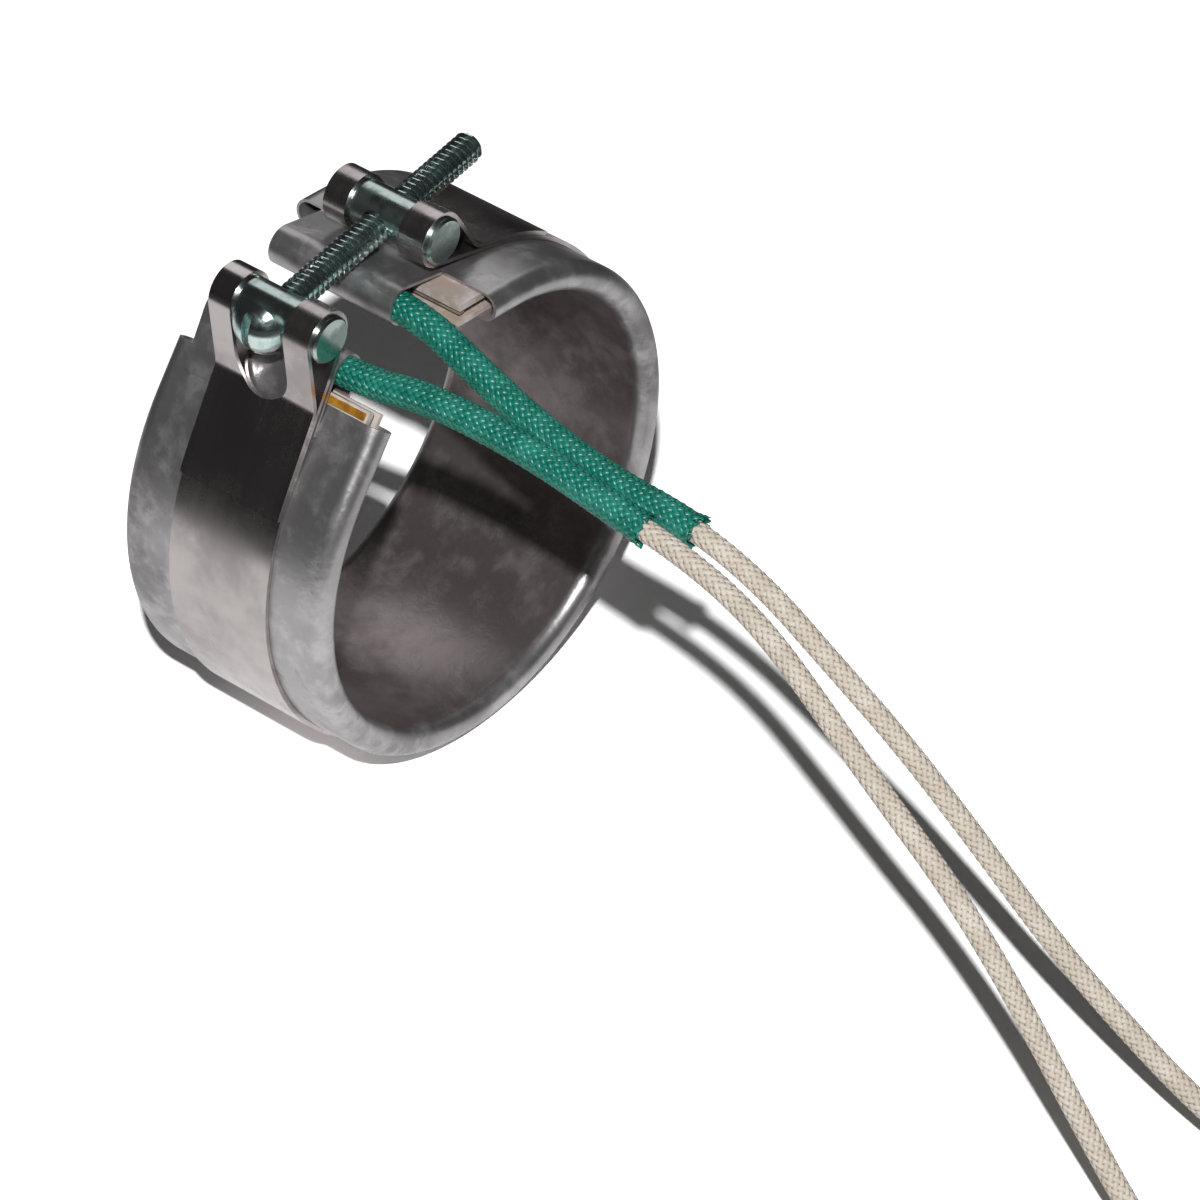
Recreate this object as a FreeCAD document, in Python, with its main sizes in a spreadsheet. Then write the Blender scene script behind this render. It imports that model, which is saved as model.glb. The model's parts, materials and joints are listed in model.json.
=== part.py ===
import FreeCAD, Part
import math
import os
import Sketcher
from FreeCAD import Placement, Rotation, Vector

# Mica band heater with a barrel clamp, standing on its rim: bore axis along Y, clamp at the top,
# leads leaving towards -Y. The origin is the centre of the bore. Millimetres.

doc = FreeCAD.newDocument("BandHeater")
doc.UndoMode = 0
sheet = doc.addObject("Spreadsheet::Sheet", "Sizes")

SIZES = {
    # sheath: a C-section of thin sheet with half-round rims
    "bore_radius": 34.925, "band_thick": 4.6, "band_width": 38.1, "sheath_sheet": 0.45,
    "rim_radius": 2.3, "flange_edge": 6.0,
    # the ends of the sheath run straight, off the circle, to the folded noses
    "far_turn": 85.0, "near_turn": 144.2, "far_run": 13.5, "near_run": 14.4,
    "rear_trim": 13.4, "nose_radius": 3.05, "nose_front": 9.4,
    "far_nose_rear": 13.4, "near_nose_rear": 15.0,
    "far_front_rim": 4.6, "far_rear_rim": 3.8, "near_front_rim": 9.5, "near_rear_rim": 8.3,
    "far_lip": 5.2, "near_lip": 4.5, "far_lip_rise": 2.75, "near_lip_rise": 2.6,
    # strap and barrels
    "strap_width": 18.4, "strap_shift": 0.3, "strap_thick": 0.65, "strap_gap": 0.05,
    "barrel_radius": 3.6, "barrel_length": 18.9, "barrel_shift": 0.85, "barrel_edge": 0.35,
    "near_barrel_x": -26.7, "near_barrel_z": 42.5, "far_barrel_x": -2.2, "far_barrel_z": 46.1,
    "window_width": 9.8, "near_window": 11.5, "far_window": 2.0,
    "near_lay": 156.5, "far_lay": 57.5, "bend_radius": 3.0, "near_bend": 36.0, "far_bend": 42.0,
    # clamp screw, number 10 with a round slotted head
    "shank_radius": 2.41, "screw_length": 46.6, "head_radius": 4.6, "head_height": 3.3,
    "seat_depth": 3.5, "slot_width": 1.3, "slot_depth": 1.7, "clear_radius": 2.65,
    "tapped_radius": 2.46, "screw_point": 0.6,
    # mica, winding and terminals
    "mica_width": 30.4, "mica_shift": 0.8, "inner_mica_low": 0.5, "inner_mica_high": 1.3, "core_low": 1.55,
    "core_high": 2.75, "core_width": 26.6, "outer_mica_low": 3.0, "outer_mica_high": 4.1,
    "near_mica_run": 11.2, "far_mica_run": 9.0, "near_core_run": 6.0, "far_core_run": 3.8, "ribbon_thick": 0.15, "ribbon_angle": 3.6,
    "ribbon_turns": 27.0, "ribbon_span": 260.0,
    "terminal_thick": 0.3, "terminal_width": 1.1, "near_terminal_lift": 1.9,
    "far_terminal_lift": -0.15,
    "crimp_radius": 1.75, "crimp_length": 7.0,
    # leads and sleeves
    "sleeve_radius": 2.4, "sleeve_bore": 1.9, "lead_radius": 1.7, "strand_radius": 0.75,
    "strand_length": 8.0,
}
for row, (alias, value) in enumerate(SIZES.items(), start=1):
    sheet.set(f"A{row}", alias)
    sheet.set(f"B{row}", str(value))
    sheet.setAlias(f"B{row}", alias)
doc.recompute()


def size(alias):
    return float(sheet.get(alias))


def bind(obj, prop, expression):
    obj.setExpression(prop, expression)


def new_body(name):
    body = doc.addObject("PartDesign::Body", name)
    body.Label = name
    return body


def origin_plane(body, role):
    return next(f for f in body.Origin.OriginFeatures if f.Role == role)


def new_sketch(body, name, role="XZ_Plane", base=Vector(), turn=0.0):
    """A sketch on one of the body's origin planes, shifted and turned about the Y axis."""
    sketch = body.newObject("Sketcher::SketchObject", name)
    sketch.AttachmentSupport = [(origin_plane(body, role), "")]
    sketch.MapMode = "FlatFace"
    sketch.AttachmentOffset = Placement(base, Rotation(Vector(0, 1, 0), turn))
    return sketch


def polar(radius, degrees):
    a = math.radians(degrees)
    return Vector(radius * math.cos(a), radius * math.sin(a), 0)


def draw(sketch, path):
    """Add a closed outline of lines and arcs. A step is ("line", to) or ("arc", centre, to, turn),
    where a turn of +1 is counter-clockwise; the first step is the start point."""
    here = path[0]
    first = here
    made = []
    for step in path[1:]:
        to = step[2] if step[0] == "arc" else step[1]
        if step[0] == "line":
            geo = Part.LineSegment(here, to)
            ends = (1, 2)
        else:
            centre, turn = step[1], step[3]
            a0 = math.atan2(here.y - centre.y, here.x - centre.x)
            a1 = math.atan2(to.y - centre.y, to.x - centre.x)
            if turn < 0:
                a0, a1 = a1, a0
            while a1 <= a0:
                a1 += 2 * math.pi
            circle = Part.Circle(centre, Vector(0, 0, 1), (to - centre).Length)
            geo = Part.ArcOfCircle(circle, a0, a1)
            ends = (1, 2) if turn > 0 else (2, 1)
        made.append((sketch.addGeometry(geo, False), ends))
        here = to
    assert (here - first).Length < 1e-6, sketch.Name
    for (g0, e0), (g1, e1) in zip(made, made[1:] + made[:1]):
        sketch.addConstraint(Sketcher.Constraint("Coincident", g0, e0[1], g1, e1[0]))
    return [g for g, _ in made]


def size_arc(sketch, geo, name, expression):
    """Give an arc a named radius that follows the sheet."""
    index = sketch.addConstraint(Sketcher.Constraint("Radius", geo, sketch.Geometry[geo].Radius))
    sketch.renameConstraint(index, name)
    sketch.setExpression(f"Constraints.{name}", expression)


def pad(body, sketch, name, length, symmetric=False, reverse=False):
    feature = body.newObject("PartDesign::Pad", name)
    feature.Profile = sketch
    if symmetric:
        feature.SideType = "Symmetric"
    feature.Reversed = reverse
    bind(feature, "Length", length)
    return feature


def pocket(body, sketch, name, length, symmetric=False, reverse=False):
    """A pocket that must take something away."""
    doc.recompute()
    before = body.Shape.Volume
    feature = body.newObject("PartDesign::Pocket", name)
    feature.Profile = sketch
    if symmetric:
        feature.SideType = "Symmetric"
    feature.Reversed = reverse
    bind(feature, "Length", length)
    doc.recompute()
    assert body.Shape.Volume < before - 1e-3, f"{name} cuts nothing"
    return feature


# ---- layout shared by the pieces ----------------------------------------------------------------
O = Vector(0, 0, 0)
r_in, thick = size("bore_radius"), size("band_thick")
r_mid = r_in + thick / 2
r_out = r_in + thick
far_turn, near_turn = size("far_turn"), size("near_turn")


def far_end(s, lift):
    """A point of the far straight end: s along it from the circle, lift outward from mid-thickness."""
    return polar(r_mid + lift, far_turn) + polar(s, far_turn + 90)


def near_end(s, lift):
    return polar(r_mid + lift, near_turn) + polar(s, near_turn - 90)


def band_outline(low, high, near_run, far_run):
    """Outline of a layer of the band: between two heights above the bore, running on past the
    circle along both straight ends."""
    lo, hi = low - thick / 2, high - thick / 2
    return [
        far_end(far_run, hi), ("line", far_end(0, hi)),
        ("arc", O, near_end(0, hi), -1), ("line", near_end(near_run, hi)),
        ("line", near_end(near_run, lo)), ("line", near_end(0, lo)),
        ("arc", O, far_end(0, lo), 1), ("line", far_end(far_run, lo)),
        ("line", far_end(far_run, hi)),
    ]


# ---- sheath -------------------------------------------------------------------------------------
# One sheet: inner wall, half-round rims, flanges that end under the strap, and at each end a
# tongue folded back on itself in a rounded nose that holds the lead's sleeve.
sheath = new_body("sheath")
t = size("sheath_sheet")
rim, yc, edge = size("rim_radius"), size("band_width") / 2 - size("rim_radius"), size("flange_edge")


def section(sketch):
    """The C-section, with X as the radius from the bore axis and Y along it."""
    P = lambda x, y: Vector(x, y, 0)
    front, rear = P(r_mid, -yc), P(r_mid, yc)
    geos = draw(sketch, [
        P(r_out, -edge), ("line", P(r_out, -yc)), ("arc", front, P(r_in, -yc), -1),
        ("line", P(r_in, yc)), ("arc", rear, P(r_out, yc), -1), ("line", P(r_out, edge)),
        ("line", P(r_out - t, edge)), ("line", P(r_out - t, yc)), ("arc", rear, P(r_in + t, yc), 1),
        ("line", P(r_in + t, -yc)), ("arc", front, P(r_out - t, -yc), 1),
        ("line", P(r_out - t, -edge)), ("line", P(r_out, -edge)),
    ])
    size_arc(sketch, geos[1], "front_rim", "Sizes.rim_radius")
    size_arc(sketch, geos[3], "rear_rim", "Sizes.rim_radius")
    size_arc(sketch, geos[7], "rear_rim_inside", "Sizes.rim_radius - Sizes.sheath_sheet")
    size_arc(sketch, geos[9], "front_rim_inside", "Sizes.rim_radius - Sizes.sheath_sheet")


ring_sketch = new_sketch(sheath, "ring_section", "XY_Plane", turn=-far_turn)
section(ring_sketch)
doc.recompute()
ring = sheath.newObject("PartDesign::Revolution", "ring")
ring.Profile = ring_sketch
ring.ReferenceAxis = (ring_sketch, ["V_Axis"])
bind(ring, "Angle", "360 - (Sizes.near_turn - Sizes.far_turn)")
doc.recompute()
assert ring.Shape.BoundBox.ZMin < -r_mid, "the ring turns the wrong way"

for side, turn, run, way in (
    ("far", far_turn, "Sizes.far_front_rim", False),
    ("near", near_turn, "Sizes.near_front_rim", True),
):
    end_sketch = new_sketch(sheath, f"{side}_end_section", "XY_Plane", turn=-turn)
    section(end_sketch)
    pad(sheath, end_sketch, f"{side}_end", run, reverse=way)
doc.recompute()

# the rear rims stop a little shorter than the front ones
for side, at, turn in (("far", far_end, far_turn), ("near", near_end, near_turn)):
    s0, s1 = size(f"{side}_rear_rim"), size(f"{side}_front_rim") + 1
    cut = new_sketch(sheath, f"{side}_rear_trim", base=Vector(0, 0, -size("rear_trim")))
    draw(cut, [at(s0, -4), ("line", at(s1, -4)), ("line", at(s1, 4)), ("line", at(s0, 4)),
               ("line", at(s0, -4))])
    pocket(sheath, cut, f"{side}_rear_cut", "Sizes.band_width", reverse=False)

# folded noses
rn = size("nose_radius")
lift_c = rn - thick / 2
for side, at, sign in (("far", far_end, 1), ("near", near_end, -1)):
    run, lip = size(f"{side}_run"), size(f"{side}_lip")
    start = size(f"{side}_front_rim") - 0.5
    rise = size(f"{side}_lip_rise")
    # the lip's outer face is the tangent from its edge to the nose circle
    ds, dl = run - lip, lift_c - rise
    reach = math.hypot(ds, dl)
    lean = math.atan2(dl, ds) + math.asin(rn / reach)
    top = (run - rn * math.sin(lean), lift_c + rn * math.cos(lean))
    inn = rn - t
    top_in = (run - inn * math.sin(lean), lift_c + inn * math.cos(lean))
    low_in = (lip + t * math.sin(lean), rise - t * math.cos(lean))
    nose = new_sketch(sheath, f"{side}_nose_profile",
                      base=Vector(0, 0, -size(f"{side}_nose_rear")))
    geos = draw(nose, [
        at(start, -thick / 2), ("line", at(run, -thick / 2)),
        ("arc", at(run, lift_c), at(*top), -sign), ("line", at(lip, rise)),
        ("line", at(*low_in)), ("line", at(*top_in)),
        ("arc", at(run, lift_c), at(run, t - thick / 2), sign), ("line", at(start, t - thick / 2)),
        ("line", at(start, -thick / 2)),
    ])
    size_arc(nose, geos[1], "outside", "Sizes.nose_radius")
    size_arc(nose, geos[5], "inside", "Sizes.nose_radius - Sizes.sheath_sheet")
    pad(sheath, nose, f"{side}_nose", f"Sizes.nose_front + Sizes.{side}_nose_rear")
doc.recompute()

# ---- mica, core and winding ---------------------------------------------------------------------
for name, low, high, width, run, shift in (
    ("inner_mica", "inner_mica_low", "inner_mica_high", "mica_width", "mica_run", "mica_shift"),
    ("mica_core", "core_low", "core_high", "core_width", "core_run", None),
    ("outer_mica", "outer_mica_low", "outer_mica_high", "mica_width", "mica_run", "mica_shift"),
):
    layer = new_body(name)
    profile = new_sketch(layer, f"{name}_profile",
                         base=Vector(0, 0, size(shift) if shift else 0))
    geos = draw(profile, band_outline(size(low), size(high), size(f"near_{run}"),
                                      size(f"far_{run}")))
    size_arc(profile, geos[1], "outside", f"Sizes.bore_radius + Sizes.{high}")
    size_arc(profile, geos[5], "inside", f"Sizes.bore_radius + Sizes.{low}")
    pad(layer, profile, f"{name}_pad", f"Sizes.{width}", symmetric=True)

ribbon = new_body("resistance_ribbon")
if hasattr(ribbon, "AllowCompound"):
    ribbon.AllowCompound = True
rt = size("ribbon_thick")
r0, r1 = r_in + size("core_low") - 0.05, r_in + size("core_high") + 0.05
half = size("core_width") / 2 + 0.05
loop = new_sketch(ribbon, "turn_section", "XY_Plane", turn=-(far_turn - 8))
for a, b, w in ((r0 - rt, r1 + rt, half + rt), (r0, r1, half)):
    draw(loop, [Vector(a, -w, 0), ("line", Vector(b, -w, 0)), ("line", Vector(b, w, 0)),
                ("line", Vector(a, w, 0)), ("line", Vector(a, -w, 0))])
turn_one = ribbon.newObject("PartDesign::Revolution", "one_turn")
turn_one.Profile = loop
turn_one.ReferenceAxis = (loop, ["V_Axis"])
bind(turn_one, "Angle", "Sizes.ribbon_angle")
doc.recompute()
turns = ribbon.newObject("PartDesign::PolarPattern", "turns")
turns.Originals = [turn_one]
turns.Axis = (loop, ["V_Axis"])
bind(turns, "Angle", "Sizes.ribbon_span")
bind(turns, "Occurrences", "Sizes.ribbon_turns")
ribbon.Tip = turns
doc.recompute()

# ---- strap --------------------------------------------------------------------------------------
# One strip: from the weld on the near side up over the near barrel, back down and all the way
# round the sheath, then round the far barrel and back down on itself.
st, gap = size("strap_thick"), size("strap_gap")
rs = r_out + gap + st / 2
rho = size("barrel_radius") + st / 2 + 0.025
near_c = Vector(size("near_barrel_x"), size("near_barrel_z"), 0)
far_c = Vector(size("far_barrel_x"), size("far_barrel_z"), 0)


def loop_layout(centre, side, bend):
    """Where the strap leaves the circle for a barrel, and the centreline of its loop. side is +1
    where the strap arrives counter-clockwise. Distances run along the strap from the circle."""
    reach = math.hypot(centre.x, centre.y)
    at = math.degrees(math.atan2(centre.y, centre.x))
    leave = at - side * math.degrees(math.acos((rs + rho) / reach))
    along, out = polar(1, leave + side * 90), polar(1, leave)
    foot = polar(rs, leave)
    length = math.sqrt(reach ** 2 - (rs + rho) ** 2)
    rise, br = st + gap, size("bend_radius")
    b = math.radians(bend)
    back = (rho + (rho - rise - br * (1 - math.cos(b))) * math.cos(b)) / math.sin(b)
    merge = length - back - br * math.sin(b)
    P = lambda u, v: foot + along * u + out * v
    return {
        "leave": leave, "length": length, "merge": merge, "P": P, "bend": b,
        "bend_centre": (merge, rise + br),
        "bend_end": (merge + br * math.sin(b), rise + br * (1 - math.cos(b))),
        "top": (length - rho * math.sin(b), rho + rho * math.cos(b)),
    }


def strap_path(o):
    """The whole strip's face at offset o (positive is the side away from the barrels)."""
    br = size("bend_radius")
    n = loop_layout(near_c, -1, size("near_bend"))
    f = loop_layout(far_c, 1, size("far_bend"))
    lay = rs + st + gap

    def spots(q):
        b, (cu, cv) = q["bend"], q["bend_centre"]
        return (
            q["P"](q["merge"], st + gap + o),
            q["P"](cu, cv),
            q["P"](cu + (br - o) * math.sin(b), cv - (br - o) * math.cos(b)),
            q["P"](q["length"] - (rho + o) * math.sin(b), rho + (rho + o) * math.cos(b)),
            q["P"](q["length"], -o),
        )

    n_merge, n_bend, n_bend_end, n_top, n_foot = spots(n)
    f_merge, f_bend, f_bend_end, f_top, f_foot = spots(f)
    start = polar(lay + o, size("near_lay"))
    steps = [
        ("arc", O, polar(lay + o, n["leave"]), -1), ("line", n_merge),
        ("arc", n_bend, n_bend_end, 1), ("line", n_top),
        ("arc", near_c, n_foot, -1), ("line", polar(rs - o, n["leave"])),
        ("arc", O, polar(rs - o, f["leave"]), 1), ("line", f_foot),
        ("arc", far_c, f_top, -1), ("line", f_bend_end),
        ("arc", f_bend, f_merge, 1), ("line", polar(lay + o, f["leave"])),
        ("arc", O, polar(lay + o, size("far_lay")), -1),
    ]
    return start, steps


def reverse_path(start, steps):
    """The same face, travelled backwards."""
    points = [start] + [s[2] if s[0] == "arc" else s[1] for s in steps]
    back = []
    for i in range(len(steps) - 1, -1, -1):
        s = steps[i]
        back.append(("arc", s[1], points[i], -s[3]) if s[0] == "arc" else ("line", points[i]))
    return points[-1], back


strap = new_body("strap")
strap_sketch = new_sketch(strap, "strap_outline", base=Vector(0, 0, size("strap_shift")))
s_a, a_steps = strap_path(st / 2)
s_b, b_steps = strap_path(-st / 2)
end_b, back_b = reverse_path(s_b, b_steps)
geos = draw(strap_sketch, [s_a] + a_steps + [("line", end_b)] + back_b + [("line", s_a)])
ring_geo = geos[6]
size_arc(strap_sketch, ring_geo, "ring_inside",
         "Sizes.bore_radius + Sizes.band_thick + Sizes.strap_gap")
pad(strap, strap_sketch, "strap_strip", "Sizes.strap_width", symmetric=True)
doc.recompute()

# a window with a rounded end at each barrel, for the screw and its head
for side, centre, way, bend in (("near", near_c, -1, "near_bend"), ("far", far_c, 1, "far_bend")):
    q = loop_layout(centre, way, size(bend))
    foot = q["P"](0, 0)
    win = strap.newObject("Sketcher::SketchObject", f"{side}_window_outline")
    win.AttachmentSupport = [(origin_plane(strap, "XY_Plane"), "")]
    win.MapMode = "FlatFace"
    win.AttachmentOffset = Placement(Vector(foot.x, 0, foot.y),
                                     Rotation(Vector(0, 1, 0), 90 - q["leave"]))
    w = size("window_width") / 2
    u0, u1 = size(f"{side}_window") + w, q["length"] + 8
    # the sketch's X runs clockwise round the ring
    x0, x1 = (u0, u1) if way < 0 else (-u0, -u1)
    turn = -1 if way < 0 else 1
    geos = draw(win, [Vector(x1, w, 0), ("line", Vector(x1, -w, 0)), ("line", Vector(x0, -w, 0)),
                      ("arc", Vector(x0, 0, 0), Vector(x0, w, 0), turn),
                      ("line", Vector(x1, w, 0))])
    size_arc(win, geos[2], "end_round", "Sizes.window_width / 2")
    pocket(strap, win, f"{side}_window_cut", "24", symmetric=True)

# ---- barrels and screw --------------------------------------------------------------------------
span = far_c - near_c
axis_deg = math.degrees(math.atan2(span.y, span.x))


def barrel(name, centre, hole, seat):
    """A cross-drilled barrel with turned edges; a seat is a flat milled for the screw's head."""
    body = new_body(name)
    disc = new_sketch(body, f"{name}_disc",
                      base=Vector(centre.x, centre.y, size("barrel_shift")))
    geo = disc.addGeometry(Part.Circle(O, Vector(0, 0, 1), size("barrel_radius")), False)
    disc.addConstraint(Sketcher.Constraint("Coincident", geo, 3, -1, 1))
    size_arc(disc, geo, "outside", "Sizes.barrel_radius")
    rod = pad(body, disc, f"{name}_rod", "Sizes.barrel_length", symmetric=True)
    doc.recompute()
    rims = [f"Edge{i + 1}" for i, e in enumerate(rod.Shape.Edges)
            if isinstance(e.Curve, Part.Circle)]
    turned = body.newObject("PartDesign::Chamfer", f"{name}_edges")
    turned.Base = (rod, rims)
    bind(turned, "Size", "Sizes.barrel_edge")
    body.Tip = turned
    cross = body.newObject("Sketcher::SketchObject", f"{name}_hole_sketch")
    cross.AttachmentSupport = [(origin_plane(body, "YZ_Plane"), "")]
    cross.MapMode = "FlatFace"
    cross.AttachmentOffset = Placement(Vector(0, centre.y, centre.x),
                                       Rotation(Vector(1, 0, 0), -axis_deg))
    geo = cross.addGeometry(Part.Circle(O, Vector(0, 0, 1), size(hole)), False)
    cross.addConstraint(Sketcher.Constraint("Coincident", geo, 3, -1, 1))
    size_arc(cross, geo, "hole", f"Sizes.{hole}")
    pocket(body, cross, f"{name}_hole", "4 * Sizes.barrel_radius", symmetric=True)
    if seat:
        face = body.newObject("Sketcher::SketchObject", f"{name}_seat_sketch")
        face.AttachmentSupport = [(origin_plane(body, "YZ_Plane"), "")]
        face.MapMode = "FlatFace"
        off = near_c - polar(size("seat_depth"), axis_deg)
        face.AttachmentOffset = Placement(Vector(0, off.y, off.x),
                                          Rotation(Vector(1, 0, 0), -axis_deg))
        geo = face.addGeometry(Part.Circle(O, Vector(0, 0, 1), size("head_radius") + 0.15), False)
        face.addConstraint(Sketcher.Constraint("Coincident", geo, 3, -1, 1))
        pocket(body, face, f"{name}_seat", "4", reverse=False)
    return body


barrel("near_barrel", near_c, "clear_radius", True)
barrel("far_barrel", far_c, "tapped_radius", False)

screw = new_body("clamp_screw")
profile = new_sketch(screw, "screw_profile")
hr, hh, sr = size("head_radius"), size("head_height"), size("shank_radius")
length, point = size("screw_length"), size("screw_point")
# dome: an arc through the head's rim and its crown
dome = (hr ** 2 + hh ** 2) / (2 * hh)
geos = draw(profile, [
    Vector(-hh, 0, 0), ("line", Vector(length, 0, 0)), ("line", Vector(length, sr - point, 0)),
    ("line", Vector(length - point, sr, 0)), ("line", Vector(0, sr, 0)),
    ("line", Vector(0, hr, 0)), ("arc", Vector(dome - hh, 0, 0), Vector(-hh, 0, 0), 1),
])
turned = screw.newObject("PartDesign::Revolution", "screw_turned")
turned.Profile = profile
turned.ReferenceAxis = (profile, ["H_Axis"])
turned.Angle = 360
doc.recompute()
slot = new_sketch(screw, "slot_profile", "XY_Plane")
sw, sd = size("slot_width") / 2, size("slot_depth")
draw(slot, [Vector(-hh - 1, -sw, 0), ("line", Vector(-hh + sd, -sw, 0)),
            ("line", Vector(-hh + sd, sw, 0)), ("line", Vector(-hh - 1, sw, 0)),
            ("line", Vector(-hh - 1, -sw, 0))])
pocket(screw, slot, "slot_cut", "3 * Sizes.head_radius", symmetric=True)
seat_at = near_c - polar(size("seat_depth") + 0.02, axis_deg)
screw.Placement = Placement(Vector(seat_at.x, 0, seat_at.y), Rotation(Vector(0, 1, 0), -axis_deg))

# ---- terminals and crimps -----------------------------------------------------------------------
for side, at, turn, way in (("near", near_end, near_turn, 1), ("far", far_end, far_turn, -1)):
    body = new_body(f"{side}_terminal")
    lift = size(f"{side}_terminal_lift")
    base = polar(r_mid + lift, turn)
    plan = new_sketch(body, f"{side}_terminal_plan", "XY_Plane",
                      base=Vector(base.x, 0, base.y), turn=90 - turn)
    tw, run = size("terminal_width"), size(f"{side}_run")
    s0 = size(f"{side}_mica_run") - 0.35
    # the leg stops just short of the crimp's round side
    off_centre = min(abs(lift - lift_c), abs(lift + size("terminal_thick") - lift_c))
    s1 = run - 0.1 - math.sqrt(size("crimp_radius") ** 2 - off_centre ** 2)
    # an L: one leg lies across the mica, the other reaches the crimp
    X = lambda s: way * s
    draw(plan, [Vector(X(s0 - tw), -15.6, 0), ("line", Vector(X(s0), -15.6, 0)),
                ("line", Vector(X(s0), 2.0, 0)), ("line", Vector(X(s1), 2.0, 0)),
                ("line", Vector(X(s1), 5.0, 0)), ("line", Vector(X(s0 - tw), 5.0, 0)),
                ("line", Vector(X(s0 - tw), -15.6, 0))])
    pad(body, plan, f"{side}_terminal_pad", "Sizes.terminal_thick")
    hold = new_body(f"{side}_crimp")
    c = at(run, lift_c)
    ring_s = new_sketch(hold, f"{side}_crimp_ring", base=Vector(c.x, c.y, -2.0))
    geo = ring_s.addGeometry(Part.Circle(O, Vector(0, 0, 1), size("crimp_radius")), False)
    size_arc(ring_s, geo, "outside", "Sizes.crimp_radius")
    pad(hold, ring_s, f"{side}_crimp_pad", "Sizes.crimp_length", reverse=True)

# ---- leads and sleeves --------------------------------------------------------------------------
near_exit = near_end(size("near_run"), lift_c)
far_exit = far_end(size("far_run"), lift_c)
# the points that each lead's centreline turns at, from the crimp to the stripped end
ROUTES = {
    "near": [
        (near_exit.x, 1.9, near_exit.y), (near_exit.x + 0.05, -12.5, near_exit.y + 0.05),
        (-21.8, -24.0, 36.6), (-20.8, -40.5, 35.6), (-19.7, -56.0, 31.9), (-19.9, -71.0, 29.6),
        (-21.0, -83.0, 25.9), (-22.6, -95.0, 18.6), (-24.6, -107.0, 11.6),
        (-26.6, -119.5, 4.9), (-28.2, -132.0, -5.4), (-29.6, -144.5, -18.6),
        (-31.0, -156.5, -30.6), (-33.6, -170.0, -38.3), (-40.0, -184.0, -38.53),
        (-51.5, -193.0, -38.53), (-65.0, -194.5, -38.53), (-76.0, -190.5, -38.53),
    ],
    "far": [
        (far_exit.x, 1.9, far_exit.y), (far_exit.x - 0.05, -12.0, far_exit.y - 0.05),
        (-10.6, -22.0, 35.2), (-11.9, -35.0, 31.6), (-12.5, -49.0, 29.2), (-12.6, -63.0, 29.0),
        (-12.4, -76.0, 25.0), (-11.9, -88.0, 17.2), (-11.3, -100.5, 9.0),
        (-10.6, -113.0, -1.4), (-10.0, -125.5, -12.2), (-9.4, -138.5, -21.2),
        (-8.6, -152.5, -29.4), (-6.0, -167.0, -37.0), (0.5, -181.0, -38.53),
        (11.5, -192.0, -38.53), (24.5, -197.0, -38.53), (37.0, -196.0, -38.53),
    ],
}
SLEEVE_REACH = {"near": 61.0, "far": 64.5}  # how far the sleeves reach towards -Y


def rounded_route(points, share=0.45):
    """Straight runs joined by tangent arcs, each as large as its runs allow, and the radii."""
    pts = [Vector(*p) for p in points]
    edges, radii, here = [], [], pts[0]
    for a, b, c in zip(pts, pts[1:], pts[2:]):
        u, v = (b - a).normalize(), (c - b).normalize()
        turn = u.getAngle(v)
        cut = share * min((b - a).Length, (c - b).Length)
        radii.append(cut / math.tan(turn / 2))
        p, q = b - u * cut, b + v * cut
        inward = (v - u).normalize()
        mid = b + inward * (radii[-1] / math.cos(turn / 2) - radii[-1])
        if (p - here).Length > 1e-6:
            edges.append(Part.makeLine(here, p))
        edges.append(Part.Arc(p, mid, q).toShape())
        here = q
    edges.append(Part.makeLine(here, pts[-1]))
    return Part.Wire(edges), radii


def tube(wire, outer, inner=0.0):
    first = wire.Edges[0]
    start, way = first.valueAt(first.FirstParameter), first.tangentAt(first.FirstParameter)
    shapes = []
    for r in (outer, inner):
        if r > 0:
            ring_w = Part.Wire(Part.makeCircle(r, start, way))
            solid = wire.makePipeShell([ring_w], True, True)
            shapes.append(solid)
    return shapes[0].cut(shapes[1]) if len(shapes) > 1 else shapes[0]


def feature(name, shape):
    obj = doc.addObject("Part::Feature", name)
    obj.Label = name
    obj.Shape = shape
    return obj


for side in ("near", "far"):
    route = ROUTES[side]
    wire, radii = rounded_route(route)
    print(f"{side}_lead length {wire.Length:.1f} radii " + " ".join(f"{r:.0f}" for r in radii))
    lead = tube(wire, size("lead_radius"))
    expect = math.pi * size("lead_radius") ** 2 * wire.Length
    print(f"{side}_lead volume {lead.Volume:.1f} expected {expect:.1f}")
    feature(f"{side}_lead", lead)
    # the sleeve is pushed over the lead, from inside the nose to its frayed end
    reach = SLEEVE_REACH[side]
    box = Part.makeBox(200, reach - 1.0, 200, Vector(-100, -reach, -60))
    sleeve = tube(wire, size("sleeve_radius"), size("sleeve_bore")).common(box)
    feature(f"{side}_sleeve", sleeve)
    last = wire.Edges[-1]
    end = last.valueAt(last.LastParameter)
    way = last.tangentAt(last.LastParameter)
    feature(f"{side}_conductor",
            Part.makeCylinder(size("strand_radius"), size("strand_length"), end, way))

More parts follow.
